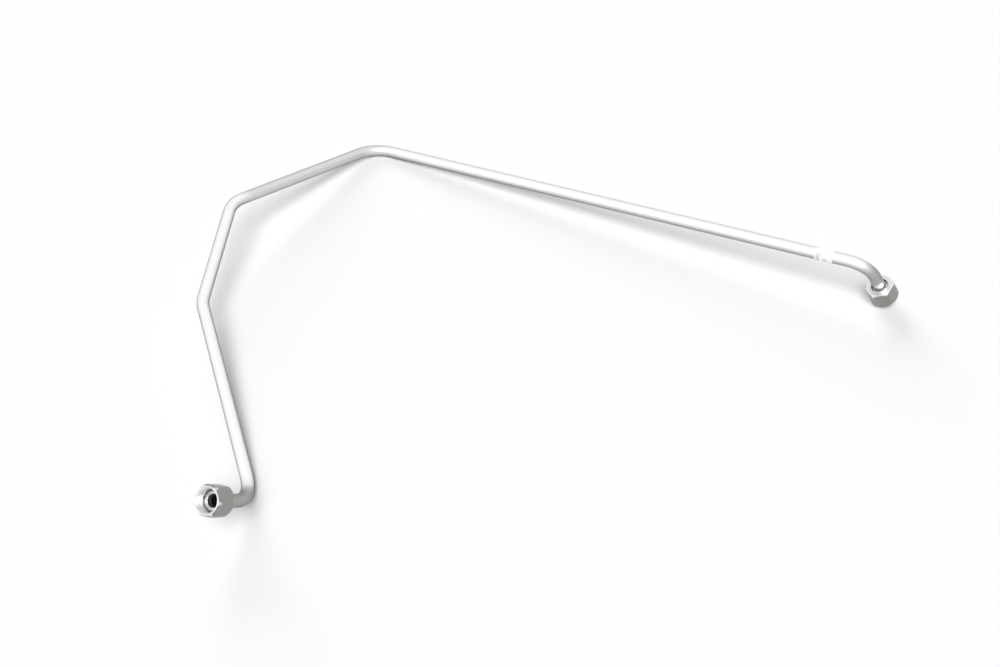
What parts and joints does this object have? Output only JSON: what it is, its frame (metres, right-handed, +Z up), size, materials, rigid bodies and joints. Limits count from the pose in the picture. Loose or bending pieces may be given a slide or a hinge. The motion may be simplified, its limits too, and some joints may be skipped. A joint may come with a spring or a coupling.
{
  "type": "hydraulic tube",
  "caption": "Bent steel hydraulic tube with a long straight leg, an offset leg and short angled ends, each with a flat-faced brazed sleeve and a hexagonal swivel nut.",
  "frame": {"origin": "middle of the bottom of the box round the whole part, on the plane it lies on", "axes": "+X from the left end to the right end, along the longest side of the box; +Z up as the tube lies at rest; the crest bend is towards +Y"},
  "size_m": [0.5534, 0.406, 0.0505],
  "materials": {
    "tube_zinc": "satin bright zinc plate",
    "sleeve_steel": "turned and zinc plated",
    "nut_zinc": "satin zinc plate, slightly greyer than the tube",
    "label_white": "matte white wrap film"
  },
  "bodies": {
    "tube_line": {"tube": "tube_zinc", "left_sleeve": "sleeve_steel", "right_sleeve": "sleeve_steel", "label": "label_white"},
    "left_nut": {"left_nut": "nut_zinc"},
    "right_nut": {"right_nut": "nut_zinc"}
  },
  "joints": [
    {"name": "left_nut_swivel", "type": "hinge", "parent": "tube_line", "child": "left_nut", "pos_m": [-0.23014, -0.19082, 0.03853], "axis": [-0.3672, -0.4838, 0.7944], "continuous": true},
    {"name": "right_nut_swivel", "type": "hinge", "parent": "tube_line", "child": "right_nut", "pos_m": [0.26454, 0.019, 0.01166], "axis": [0.5184, 0.0444, -0.854], "continuous": true}
  ]
}
